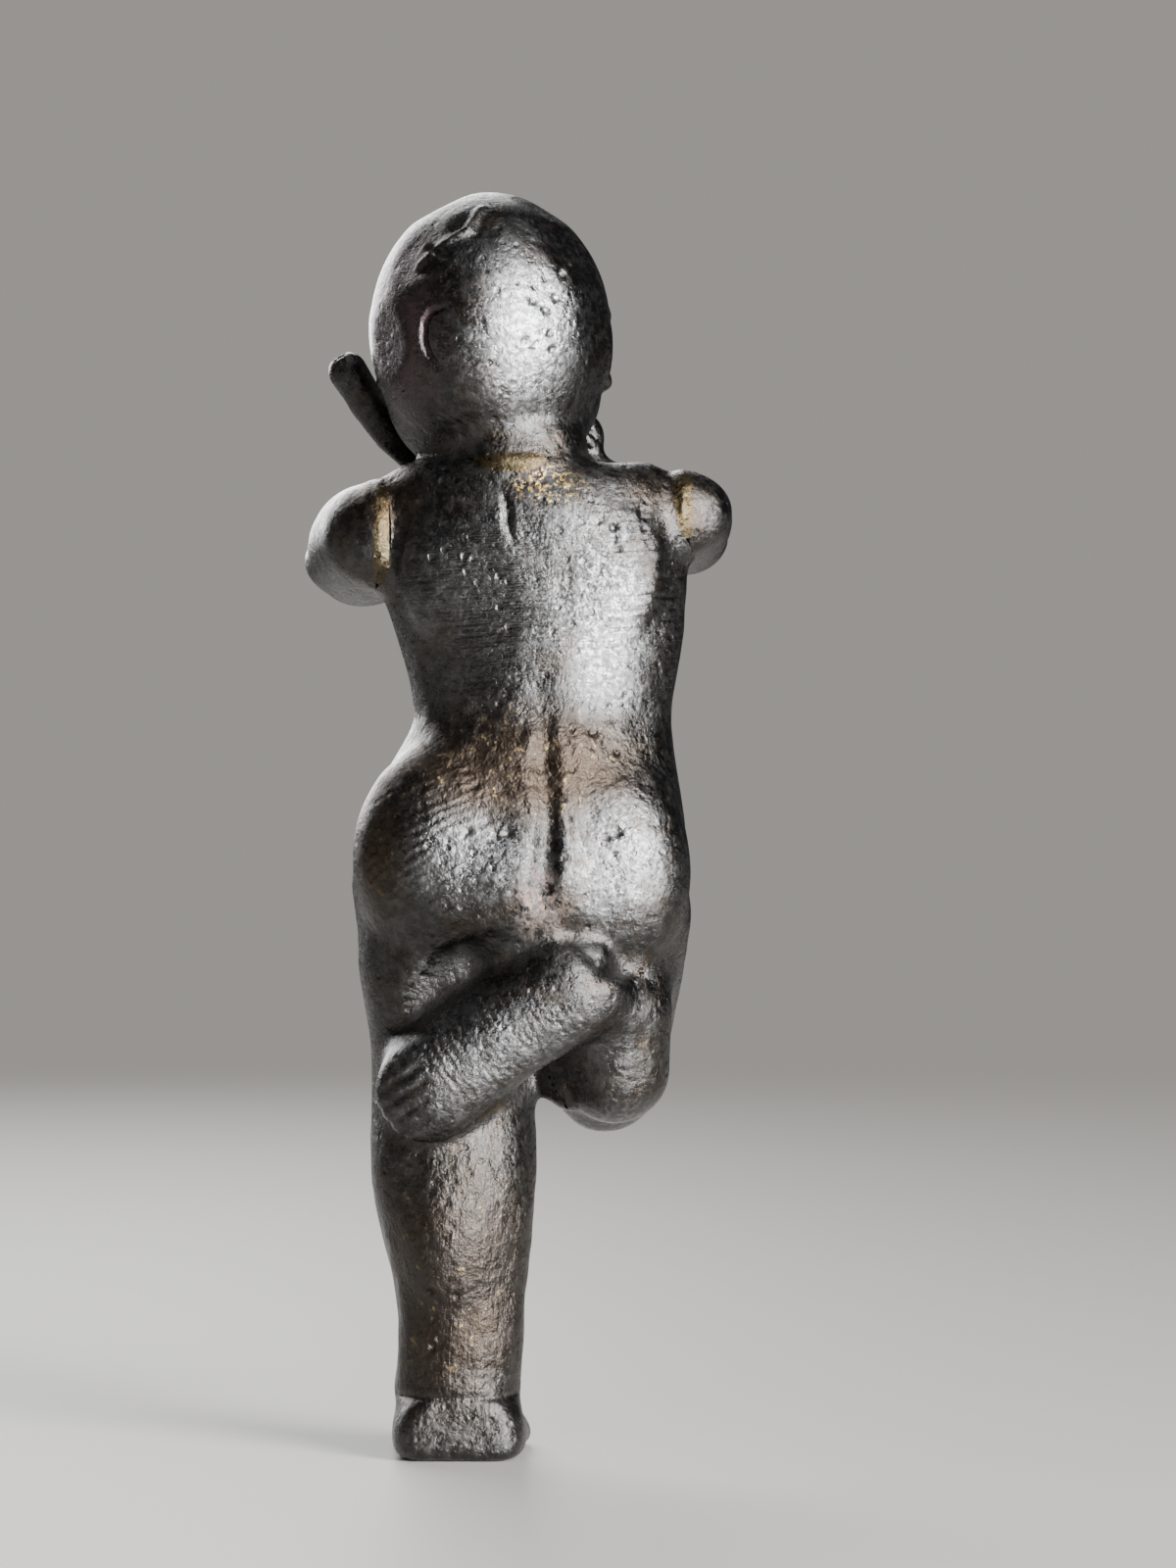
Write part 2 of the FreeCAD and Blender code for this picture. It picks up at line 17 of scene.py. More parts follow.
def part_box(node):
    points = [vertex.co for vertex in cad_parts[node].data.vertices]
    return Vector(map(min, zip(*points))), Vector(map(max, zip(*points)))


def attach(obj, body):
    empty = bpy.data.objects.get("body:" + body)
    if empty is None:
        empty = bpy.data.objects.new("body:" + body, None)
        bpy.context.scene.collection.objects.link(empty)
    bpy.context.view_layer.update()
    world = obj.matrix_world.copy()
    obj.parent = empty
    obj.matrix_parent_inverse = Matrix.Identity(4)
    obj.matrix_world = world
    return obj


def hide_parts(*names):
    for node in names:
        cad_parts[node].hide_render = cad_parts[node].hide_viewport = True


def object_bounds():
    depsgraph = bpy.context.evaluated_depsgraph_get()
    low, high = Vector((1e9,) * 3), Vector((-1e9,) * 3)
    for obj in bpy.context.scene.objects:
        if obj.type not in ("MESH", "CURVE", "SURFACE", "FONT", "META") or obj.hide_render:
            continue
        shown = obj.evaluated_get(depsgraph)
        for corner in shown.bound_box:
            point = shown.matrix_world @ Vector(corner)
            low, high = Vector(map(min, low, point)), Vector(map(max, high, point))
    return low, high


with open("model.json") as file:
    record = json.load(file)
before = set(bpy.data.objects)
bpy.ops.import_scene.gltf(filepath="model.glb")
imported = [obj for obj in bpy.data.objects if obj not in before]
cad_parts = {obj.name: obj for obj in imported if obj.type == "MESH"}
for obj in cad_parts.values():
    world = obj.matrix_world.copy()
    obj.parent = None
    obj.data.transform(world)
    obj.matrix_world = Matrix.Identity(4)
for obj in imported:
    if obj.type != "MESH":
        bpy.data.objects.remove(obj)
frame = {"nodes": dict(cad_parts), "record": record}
size_before = [list(corner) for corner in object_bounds()]

MM = 0.001
STEP = 0.16          # spacing of the samples, mm
MARGIN = 1.6         # room around the figure, mm
SAMPLE_SHIFT = 0.0137  # keeps the samples off flat faces such as the sole, mm
RAY_GAP = 1e-4       # how far past a hit the next ray starts, mm
BLUR_REACH = 3.6     # how far a blur reaches, in sigmas
TINY = 1e-9          # keeps logarithms and divisions away from zero
SOFTNESS = 0.4       # how far the casting's edges are rounded, mm
SEAM_SOFTNESS = 0.8  # how far the lines between sections are rounded, mm
CLAIM_SLOPE = 1.6    # how much two claims' difference grows over one seam softness
BEAD_START = 1.25    # the head start that a braze bead's claim gets
JOIN_DEPTH = 0.11    # depth of the lines where the arms and the head meet the trunk, mm
JOIN_WIDTH = 0.13    # width of those lines, mm
PIECE_ROOM = 1.4     # how far a piece may pass its section's box, mm
NOT_ZERO = 1e-4      # a sample this close to the surface is put outside it, mm
SETTLE_ROUNDS = 4
CORNER_REACH = 0.8 * STEP  # a point this near to the skin and to a seam goes to their corner
LONGEST_MOVE = 0.4 * STEP
BACK, FRONT = 1, -1  # the two sides of the figure, along Y
NODES = sorted(frame["nodes"])

# ---------------------------------------------------------------- the grid
boxes = {name: np.array([list(c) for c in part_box(name)]) / MM for name in NODES}
whole = np.array([np.min([b[0] for b in boxes.values()], 0), np.max([b[1] for b in boxes.values()], 0)])
low = whole[0] - MARGIN + SAMPLE_SHIFT
shape = np.ceil((whole[1] - whole[0] + 2 * MARGIN) / STEP).astype(int)
shape += shape % 2


def window(start, end, room=0.0):
    """The slices of the grid that hold a box."""
    first = np.floor((np.array(start) - room - low) / STEP).astype(int)
    last = np.ceil((np.array(end) + room - low) / STEP).astype(int) + 1
    first, last = np.maximum(first, 0), np.minimum(last, shape)
    return tuple(slice(int(a), int(b)) for a, b in zip(first, last))


def coordinates(part):
    """The x, y and z of the samples in some slices, ready to be combined."""
    axes = [low[i] + STEP * np.arange(part[i].start, part[i].stop, dtype=np.float32) for i in range(3)]
    return axes[0][:, None, None], axes[1][None, :, None], axes[2][None, None, :]


def filled(name):
    """How much of each sample's cell the section fills, and the slices that it was measured in."""
    mesh = frame["nodes"][name].data
    points = np.empty(len(mesh.vertices) * 3, np.float32)
    mesh.vertices.foreach_get("co", points)
    points = points.reshape(-1, 3) / MM
    tree = BVHTree.FromPolygons(points.tolist(), [tuple(p.vertices) for p in mesh.polygons])
    part = window(*boxes[name], room=STEP)
    x, y, z = (axis.ravel() for axis in coordinates(part))
    fill = np.zeros((len(x), len(y), len(z)), np.float32)
    below = float(z[0]) - 1.0
    up = Vector((0, 0, 1))
    for i, px in enumerate(x):
        for j, py in enumerate(y):
            height, entry = below, None
            while True:
                hit, normal, _, _ = tree.ray_cast(Vector((px, py, height)), up)
                if hit is None:
                    break
                if normal.z < 0 and entry is None:
                    entry = hit.z
                elif normal.z > 0 and entry is not None:
                    cover = np.minimum(z + STEP / 2, hit.z) - np.maximum(z - STEP / 2, entry)
                    fill[i, j] += np.clip(cover / STEP, 0, 1)
                    entry = None
                height = hit.z + RAY_GAP
    return np.minimum(fill, 1), part


def soften(values, sigma):
    """A Gaussian blur along all three axes; sigma is in samples."""
    reach = int(math.ceil(BLUR_REACH * sigma))
    offsets = np.arange(-reach, reach + 1)
    weights = np.exp(-0.5 * (offsets / sigma) ** 2)
    weights /= weights.sum()
    for axis in range(3):
        padded = np.pad(values, [(reach, reach) if a == axis else (0, 0) for a in range(3)])
        result = np.zeros_like(values)
        for offset, weight in zip(offsets, weights):
            take = [slice(None)] * 3
            take[axis] = slice(reach + offset, reach + offset + values.shape[axis])
            result += np.float32(weight) * padded[tuple(take)]
        values = result
    return values


def halved(values):
    """Half as many samples along each axis, each the mean of the eight that it stands for."""
    return values.reshape(shape[0] // 2, 2, shape[1] // 2, 2, shape[2] // 2, 2).mean((1, 3, 5))


solid = np.zeros(shape, np.float32)
claims = []
for name in NODES:
    fill, part = filled(name)
    solid[part] += fill
    alone = np.zeros(shape, np.float32)
    alone[part] = fill
    claims.append(np.log(soften(halved(alone), SEAM_SOFTNESS / (2 * STEP)) + TINY))
claims = np.stack(claims)

# The softened filling, turned into a distance to the surface: negative inside.
spread = np.linspace(-2.6, 2.6, 201)
share = np.array([0.5 * (1 + math.erf(s / math.sqrt(2))) for s in spread])
distance = soften(np.minimum(solid, 1), SOFTNESS / STEP)
distance = (-SOFTNESS * np.interp(distance, share, spread)).astype(np.float32)


# ---------------------------------------------------------------- modelling tools
def at(node, fx, fy, fz):
    """A point of a section's box, from 0 to 1 along each axis."""
    return boxes[node][0] + (boxes[node][1] - boxes[node][0]) * np.array([fx, fy, fz])


def skin(node, fx, fz, side=BACK, lift=0.0):
    """The outermost point of the surface at one side, raised by a lift."""
    x, _, z = at(node, fx, 0, fz)
    column = distance[int(round((x - low[0]) / STEP)), :, int(round((z - low[2]) / STEP))]
    inside = np.nonzero(column < 0)[0]
    j = inside[-1] if side > 0 else inside[0]
    reach = column[j] / (column[j] - column[j + side])
    return np.array([x, low[1] + STEP * (j + side * reach) + side * lift, z])


def trail(node, *places):
    """Points on the back of a section, each from its place across, its place up and a lift."""
    return [skin(node, fx, fz, BACK, lift) for fx, fz, lift in places]


def turned(degrees):
    """A rotation matrix from turns about X, then Y, then Z."""
    rx, ry, rz = (math.radians(d) for d in degrees)
    about_x = np.array([[1, 0, 0], [0, math.cos(rx), -math.sin(rx)], [0, math.sin(rx), math.cos(rx)]])
    about_y = np.array([[math.cos(ry), 0, math.sin(ry)], [0, 1, 0], [-math.sin(ry), 0, math.cos(ry)]])
    about_z = np.array([[math.cos(rz), -math.sin(rz), 0], [math.sin(rz), math.cos(rz), 0], [0, 0, 1]])
    return about_z @ about_y @ about_x


def unite(a, b, blend):
    """The smaller of two distances, with a fillet where they meet."""
    return np.minimum(a, b) - np.maximum(blend - np.abs(a - b), 0) ** 2 / (4 * blend)


def egg(centre, radii, turn=(0, 0, 0)):
    """An ellipsoid: its box and its distance."""
    centre, radii, spin = np.array(centre), np.array(radii, float), turned(turn)
    reach = np.full(3, radii.max())

    def measure(x, y, z):
        x, y, z = x - centre[0], y - centre[1], z - centre[2]
        u, v, w = (spin[0, i] * x + spin[1, i] * y + spin[2, i] * z for i in range(3))
        near = np.sqrt((u / radii[0]) ** 2 + (v / radii[1]) ** 2 + (w / radii[2]) ** 2)
        far = np.sqrt((u / radii[0] ** 2) ** 2 + (v / radii[1] ** 2) ** 2 + (w / radii[2] ** 2) ** 2)
        return near * (near - 1) / np.maximum(far, 1e-6)

    return centre - reach, centre + reach, measure


def strand(points, radii):
    """A round bar along some points, with a radius at each."""
    points = [np.array(p, float) for p in points]
    reach = max(radii)

    def measure(x, y, z):
        best = None
        for a, b, ra, rb in zip(points, points[1:], radii, radii[1:]):
            run = b - a
            share = ((x - a[0]) * run[0] + (y - a[1]) * run[1] + (z - a[2]) * run[2]) / (run @ run)
            share = np.clip(share, 0, 1)
            gap = [axis - a[i] - share * run[i] for i, axis in enumerate((x, y, z))]
            d = np.sqrt(gap[0] ** 2 + gap[1] ** 2 + gap[2] ** 2) - ra - share * (rb - ra)
            best = d if best is None else np.minimum(best, d)
        return best

    return np.min(points, 0) - reach, np.max(points, 0) + reach, measure


def add(form, blend=0.5):
    """Joins a form to the figure."""
    part = window(form[0], form[1], room=blend)
    distance[part] = unite(distance[part], form[2](*coordinates(part)).astype(np.float32), blend)


def carve(form, blend=0.3):
    """Cuts a form out of the figure."""
    part = window(form[0], form[1], room=blend)
    distance[part] = -unite(-distance[part], form[2](*coordinates(part)).astype(np.float32), blend)


def plane_off(centre, radii, normal, depth, blend=0.12):
    """A flat filed on an ellipsoid, with a depth below its surface."""
    normal = np.array(normal) / np.linalg.norm(normal)
    height = math.sqrt(sum((n * r) ** 2 for n, r in zip(normal, radii))) - depth
    top = np.array(centre) + normal * height
    part = window(top - 4.0, top + 4.0)
    x, y, z = coordinates(part)
    flat = sum((axis - t) * n for axis, t, n in zip((x, y, z), top, normal))
    distance[part] = -unite(-distance[part], -flat, blend)


def ribs(centre, radii, direction, places, width, depth):
    """Parallel grooves across a direction, fading out at the edge of an ellipsoid."""
    start, end, measure = egg(centre, radii)
    direction = np.array(direction, float) / np.linalg.norm(direction)
    part = window(start, end)
    x, y, z = coordinates(part)
    along = sum((axis - c) * d for axis, c, d in zip((x, y, z), centre, direction))
    cut = sum(np.exp(-(((along - place) / width) ** 2)) for place in places)
    fade = np.clip(-measure(x, y, z) / (0.35 * min(radii)), 0, 1)
    distance[part] += (depth * cut * fade).astype(np.float32)


# ---------------------------------------------------------------- head
rng = np.random.default_rng(11)
skull, skull_size = at("head", 0.5, 0.5, 0.58), (6.2, 6.7, 7.1)
for normal, depth in (
    ((0.62, 0.62, 0.48), 0.3),
    ((-0.72, 0.45, 0.52), 0.35),
    ((-0.9, 0.42, 0.02), 0.22),
    ((0.86, 0.5, -0.1), 0.25),
    ((0.15, 0.75, 0.64), 0.2),
    ((-0.45, 0.85, 0.2), 0.12),
    ((-0.5, 0.2, 0.84), 0.25),
    ((0.45, 0.05, 0.89), 0.25),
    ((0.35, 0.93, 0.05), 0.14),
    ((-0.2, 0.93, -0.28), 0.12),
):
    plane_off(skull, skull_size, normal, depth)

# The face looks a little towards the right hand.  Forward, sideways and up from the skull's centre.
forward = at("head", 0.423, -0.0, 0.58) - skull
forward /= np.linalg.norm(forward)
sideways = np.array([-forward[1], forward[0], 0])


def face(side, ahead, up):
    """A point in mm from the skull's centre."""
    return skull + sideways * side + forward * ahead + np.array([0, 0, up])


yaw = math.degrees(math.atan2(-forward[0], -forward[1]))
for s in (-1, 1):
    # Closed eyes, brows, cheeks and nostrils.
    carve(egg(face(2.35 * s, 6.75, -0.45), (1.5, 0.75, 0.85), (0, 0, -yaw + 16 * s)), 0.9)
    add(egg(face(2.35 * s, 5.55, -0.6), (1.2, 0.72, 0.78), (0, 0, -yaw + 16 * s)), 0.25)
    lid = [face(1.3 * s, 6.25, -0.75), face(1.8 * s, 6.4, -1.02)]
    lid += [face(2.5 * s, 6.2, -1.1), face(3.4 * s, 5.5, -0.85)]
    carve(strand(lid, (0.07, 0.13, 0.13, 0.07)), 0.1)
    brow = [face(0.9 * s, 6.4, 0.75), face(2.1 * s, 6.1, 1.25), face(3.7 * s, 5.05, 0.85)]
    add(strand(brow, (0.3, 0.42, 0.2)), 0.6)
    add(egg(face(3.1 * s, 4.1, -3.1), (1.9, 1.7, 1.9)), 1.2)
    add(egg(face(0.62 * s, 6.55, -2.5), (0.5, 0.55, 0.42)), 0.35)
    carve(strand([face(0.42 * s, 7.0, -2.95), face(0.42 * s, 6.9, -2.6)], (0.16, 0.14)), 0.12)
    # Ears.
    ear = face(5.7 * s, 0.9, -1.1)
    add(egg(ear, (0.45, 1.0, 1.5), (-12, 0, -14 * s)), 0.5)
    carve(egg(ear + sideways * 0.5 * s + forward * 0.15, (0.3, 0.55, 0.95), (-12, 0, -18 * s)), 0.25)
    add(egg(ear + forward * 0.35 + np.array([0, 0, -1.45]), (0.45, 0.5, 0.45)), 0.3)
# Nose, lips and chin.
add(strand([face(0, 5.9, 0.6), face(0, 6.4, -1.0), face(0, 7.05, -2.2)], (0.5, 0.45, 0.58)), 0.55)
add(strand([face(-0.85, 6.0, -3.72), face(0, 6.45, -3.55), face(0.85, 6.0, -3.72)], (0.2, 0.36, 0.2)), 0.3)
add(strand([face(-0.75, 5.9, -4.75), face(0, 6.2, -4.95), face(0.75, 5.9, -4.75)], (0.22, 0.42, 0.22)), 0.3)
add(egg(face(0, 4.5, -6.3), (1.5, 1.2, 1.1)), 0.9)

# The edge of the close hair over the forehead and the temples.
edge = [face(s, a, u) for s, a, u in (
    (-5.6, 2.0, 0.9), (-5.0, 3.6, 2.3), (-3.4, 4.7, 3.6), (-1.2, 5.2, 4.2),
    (1.2, 5.2, 4.2), (3.4, 4.7, 3.6), (5.0, 3.6, 2.3), (5.6, 2.0, 0.9))]
add(strand(edge, (0.2, 0.3, 0.32, 0.35, 0.35, 0.32, 0.3, 0.2)), 0.7)

# A crescent ridge on the crown, a slit below it and a curved scratch at the back.
ridge = trail("head", (0.528, 0.929, 0), (0.585, 0.858, 0), (0.71, 0.799, 0), (0.778, 0.757, 0))
add(strand(ridge, (0.2, 0.28, 0.26, 0.15)), 0.3)
carve(strand(trail("head", (0.754, 0.814, 0.02), (0.673, 0.778, 0.02)), (0.18, 0.14)), 0.12)
hook = trail("head", (0.673, 0.624, 0), (0.734, 0.612, 0), (0.762, 0.58, 0))
hook += trail("head", (0.764, 0.521, 0), (0.738, 0.476, 0), (0.702, 0.444, 0))
carve(strand(hook, (0.12, 0.2, 0.24, 0.24, 0.2, 0.12)), 0.1)

# ---------------------------------------------------------------- neck and back
# The neck runs out into the tops of the shoulders.
neck = at("head", 0.423, 0.605, 0.178)
add(strand([neck, at("torso", 0.818, 0.583, 0.87)], (1.5, 1.2)), 1.6)
add(strand([neck, at("torso", 0.341, 0.583, 0.864)], (1.6, 1.3)), 1.6)
# A furrow over the spine, a crease at the nape and low shoulder blades.
carve(strand(trail("torso", (0.479, 0.264, 1.05), (0.466, 0.174, 0.75)), (0.8, 0.75)), 0.6)
add(egg(skin("torso", 0.768, 0.612, BACK, -0.85), (2.3, 0.9, 2.7), (0, 14, 0)), 1.2)
add(egg(skin("torso", 0.246, 0.625, BACK, -0.85), (2.3, 0.9, 2.8), (0, -14, 0)), 1.2)
nape_crease = trail("torso", (0.592, 0.877, 0.05), (0.578, 0.832, 0.05), (0.58, 0.793, 0.05))
nape_crease += trail("torso", (0.561, 0.735, 0.1))
carve(strand(nape_crease, (0.18, 0.2, 0.24, 0.12)), 0.15)
# Plain chest and belly.
add(egg(skin("torso", 0.529, 0.148, FRONT, -1.5), (3.6, 2.0, 3.2)), 2.0)

# ---------------------------------------------------------------- hips
add(egg(skin("hips", 0.718, 0.488, BACK, -3.35), (4.7, 3.9, 5.4), (0, -6, 0)), 0.7)
add(egg(skin("hips", 0.216, 0.441, BACK, -3.0), (3.7, 3.4, 5.3), (0, 8, 0)), 0.7)
middle = trail("hips", (0.429, 0.976, 0.45), (0.421, 0.787, 0.3), (0.415, 0.614, 0.25))
middle += trail("hips", (0.421, 0.457, 0.2), (0.432, 0.299, 0.35))
carve(strand(middle, (0.5, 0.55, 0.55, 0.6, 0.7)), 0.5)
# The lower edge of the cheek and the hollow over the crossing foot.
fold = trail("hips", (0.596, 0.11, 0.4), (0.654, 0.055, 0.3))
fold += trail("standing_leg", (0.543, 0.901, 0.3), (0.652, 0.834, 0.45))
carve(strand(fold, (0.45, 0.6, 0.7, 0.55)), 0.6)
over_foot = trail("standing_leg", (0.379, 0.889, 0.75), (0.532, 0.85, 0.7), (0.684, 0.795, 0.75))
carve(strand(over_foot, (1.25, 1.45, 1.15)), 1.2)
# The crease beside the heel.
crease = trail("hips", (0.345, 0.126, 0.25))
crease += trail("bent_thigh", (0.558, 0.72, 0.25), (0.374, 0.65, 0.25))
carve(strand(crease, (0.42, 0.5, 0.36)), 0.9)

# ---------------------------------------------------------------- legs
# Knee, calf and the knee of the bent leg.
add(egg(skin("standing_leg", 0.488, 0.543, FRONT, -1.15), (1.7, 1.4, 1.8)), 0.9)
add(egg(skin("standing_leg", 0.477, 0.378, BACK, -1.6), (2.0, 1.85, 3.4)), 1.0)
add(egg(at("bent_thigh", 0.533, 0.149, 0.206), (2.2, 1.9, 2.0)), 0.8)
# Ankle bones and the ledge above the foot.
for x in (-2.3, 2.3):
    ankle_bone = at("standing_foot", 0, 0.692, 0.842)
    ankle_bone[0] = x
    add(egg(ankle_bone, (0.7, 0.85, 0.8)), 0.5)
ribs(at("standing_foot", 0.54, 0.827, 0.76), (3.4, 3.0, 0.9), (0, 0, 1), (0,), 0.16, 0.12)
# Toes of the standing foot, and of the broad crossing one.
toe_gaps = (-1.9, -0.75, 0.3, 1.25)
ribs(at("standing_foot", 0.513, 0.038, 0.257), (4.0, 2.6, 2.2), (1, 0.1, 0), toe_gaps, 0.2, 0.4)
instep = [at("bent_foot", *place) for place in (
    (0.266, 0.543, 0.833), (0.507, 0.508, 0.586), (0.732, 0.418, 0.369))]
add(strand(instep, (2.1, 2.3, 2.5)), 1.3)
add(egg(at("bent_foot", 0.794, 0.329, 0.27), (1.9, 2.0, 2.1), (0, 35, 0)), 1.6)
toe_gaps = (-1.2, -0.3, 0.5, 1.25)
ribs(at("bent_foot", 0.864, 0.65, 0.201), (1.7, 3.0, 3.2), (0.55, 0, 0.83), toe_gaps, 0.17, 0.1)
# The calf of the bent leg, folded against the foot.
folded_calf = [at("bent_shin", *place) for place in (
    (0.329, 0.683, 0.698), (0.381, 0.595, 0.349), (0.728, 0.577, 0.29))]
add(strand(folded_calf, (2.5, 2.7, 1.6)), 1.8)

# ---------------------------------------------------------------- arms and hands
# Grooves between the fingers.
for hand, run, gaps in (
    (at("left_hand", 0.465, 0.5, 0.501), (0.94, 0.34, 0), (-0.95, -0.15, 0.65)),
    (at("right_hand", 0.546, 0.507, 0.473), (0.57, 0.2, -0.8), (-0.9, -0.1, 0.7)),
):
    ribs(hand, (2.6, 2.6, 2.4), run, gaps, 0.17, 0.28)
# The swell of the upper arms.
for node, fx in (("left_upper_arm", 0.8), ("right_upper_arm", 0.35)):
    add(egg(at(node, fx, 0.16, 0.4), (1.5, 1.5, 1.4)), 0.8)

# ---------------------------------------------------------------- horn
bell = at("curved_horn", 0.928, 0.891, 0.923)
throat = at("curved_horn", 0.821, 0.802, 0.69)
# The horn sags in its bend, widens to the bell and is open at its end.
sag = [at("curved_horn", *place) for place in (
    (0.537, 0.568, 0.238), (0.704, 0.702, 0.435), (0.827, 0.802, 0.676))]
add(strand(sag, (0.7, 0.8, 0.75)), 0.4)
add(strand([throat, bell], (0.75, 0.98)), 0.5)
carve(strand([bell + (bell - throat) * 0.34, bell + (bell - throat) * 0.9], (0.3, 0.8)), 0.15)

# ---------------------------------------------------------------- the roughness of the casting
def lumps(size, seed):
    """Smooth random values, about -1 to 1, with lumps of a size in mm."""
    coarse = np.random.default_rng(seed).normal(size=[n // 2 for n in shape]).astype(np.float32)
    coarse = soften(coarse, size / (2 * STEP) / 2.5)
    return finer(coarse / coarse.std())


def finer(coarse):
    """Twice as many samples along each axis, in between linearly."""
    for axis in range(3):
        before = np.take(coarse, np.maximum(np.arange(coarse.shape[axis]) - 1, 0), axis)
        after = np.take(coarse, np.minimum(np.arange(coarse.shape[axis]) + 1, coarse.shape[axis] - 1), axis)
        pair = np.stack([0.75 * coarse + 0.25 * before, 0.75 * coarse + 0.25 * after], axis + 1)
        size = list(coarse.shape)
        size[axis] *= 2
        coarse = pair.reshape(size)
    return coarse


def patch(centre, radii):
    """1 at the centre of an ellipsoid, down to 0 at its edge, over the whole grid."""
    value = np.zeros(shape, np.float32)
    part = window(np.array(centre) - radii, np.array(centre) + radii)
    square = sum(((axis - c) / r) ** 2 for axis, c, r in zip(coordinates(part), centre, radii))
    value[part] = np.clip(1 - square, 0, 1)
    return value


# The waist, the calf and the right shoulder are rougher than the rest, and the back is smoother.
unevenness = 0.25 + 0.8 * patch(at("hips", 0.456, 0.671, 0.803), (9.0, 7.0, 4.5))
unevenness += 0.8 * patch(at("standing_leg", 0.466, 0.634, 0.323), (5.0, 5.0, 9.0))
smoother = 0.2 * patch(at("torso", 0.523, 0.99, 0.509), (9.0, 6.0, 5.0))
unevenness += 0.5 * patch(at("torso", 0.146, 0.7, 0.896), (4.0, 5.0, 4.0)) - smoother
distance += unevenness * (0.05 * lumps(2.6, 5) + 0.03 * lumps(1.1, 6))

# Pits, mostly at the right-hand side.
pit_places = [("torso", rng.uniform(0.12, 0.3), rng.uniform(0.7, 0.85)) for _ in range(9)]
pit_places += [("head", rng.uniform(0.15, 0.35), rng.uniform(0.45, 0.8)) for _ in range(9)]
pit_places += [("hips", rng.uniform(0.2, 0.7), rng.uniform(0.45, 0.95)) for _ in range(16)]
pit_places += [("standing_leg", rng.uniform(0.4, 0.6), rng.uniform(0.15, 0.5)) for _ in range(8)]
for node, fx, fz in pit_places:
    size = rng.uniform(0.12, 0.26)
    carve(egg(skin(node, fx, fz, BACK, size * 0.3), (size * 1.3, size, size)), 0.1)


# ---------------------------------------------------------------- one closed piece for each section
def blend_scores():
    """How strongly each section claims each place.  The thin braze beads get a head start."""
    scores = claims.copy()
    for number, name in enumerate(NODES):
        if name.endswith("_braze"):
            scores[number] += BEAD_START
    return scores * (SEAM_SOFTNESS / CLAIM_SLOPE)


scores = blend_scores()
order = np.sort(scores, axis=0)
first, second = order[-1], order[-2]
# The distance, blurred by 1 mm: it is lower in hollows than on ridges.
blurred = finer(soften(halved(distance), 1.0 / (2 * STEP)))

# A fine join line where the arms and the head meet the trunk.
margin = finer(first - second)
near_joins = patch(at("left_shoulder_braze", 0.486, 0.508, 0.5), (2.5, 4.0, 5.0))
near_joins += patch(at("right_shoulder_braze", 0.501, 0.491, 0.498), (2.5, 4.0, 4.5))
near_joins += patch(at("neck_braze", 0.5, 0.496, 0.498), (5.5, 5.0, 2.0))
line = np.exp(-((margin / JOIN_WIDTH) ** 2))
distance += (JOIN_DEPTH * np.clip(2 * near_joins, 0, 1) * line).astype(np.float32)


def sample(values, points, part):
    """Values in between the samples, at points in mm."""
    start = np.array([s.start for s in part])
    where = (points - low) / STEP - start
    cell = np.clip(np.floor(where).astype(int), 0, np.array(values.shape) - 2)
    share = where - cell
    result = 0
    for corner in range(8):
        bits = [(corner >> axis) & 1 for axis in range(3)]
        weight = np.prod([share[:, a] if bit else 1 - share[:, a] for a, bit in enumerate(bits)], axis=0)
        result = result + weight * values[tuple(cell[:, a] + bit for a, bit in enumerate(bits))]
    return result


def slope(values, points, part):
    """The gradient at points in mm."""
    near = STEP * 0.5
    rises = []
    for step in near * np.eye(3):
        rises.append(sample(values, points + step, part) - sample(values, points - step, part))
    return np.stack(rises, 1) / (2 * near)


def net(values, part):
    """A closed surface of four-sided faces where the values turn from negative to positive."""
    size = np.array(values.shape)
    cells = size - 1
    inside = values < 0
    total, count = np.zeros((cells.prod(), 3)), np.zeros(cells.prod())
    quads = []
    for axis in range(3):
        a = [slice(None)] * 3
        b = [slice(None)] * 3
        a[axis], b[axis] = slice(0, -1), slice(1, None)
        a, b = tuple(a), tuple(b)
        places = np.argwhere(inside[a] != inside[b])
        va, vb = values[a][tuple(places.T)], values[b][tuple(places.T)]
        points = places.astype(float)
        points[:, axis] += va / (va - vb)
        u, v = [other for other in range(3) if other != axis]
        around = []
        for du, dv in ((0, 0), (-1, 0), (-1, -1), (0, -1)):
            cell = places.copy()
            cell[:, u] += du
            cell[:, v] += dv
            flat = np.ravel_multi_index(cell.T, cells)
            for c in range(3):
                total[:, c] += np.bincount(flat, points[:, c], cells.prod())
            count += np.bincount(flat, minlength=cells.prod())
            around.append(flat)
        around = np.stack(around, 1)
        outward = (va < 0) != (axis == 1)
        quads.append(np.where(outward[:, None], around, around[:, ::-1]))
    used = np.nonzero(count)[0]
    number = np.full(cells.prod(), -1)
    number[used] = np.arange(len(used))
    points = total[used] / count[used, None]
    start = np.array([s.start for s in part])
    return low + STEP * (points + start), number[np.concatenate(quads)]


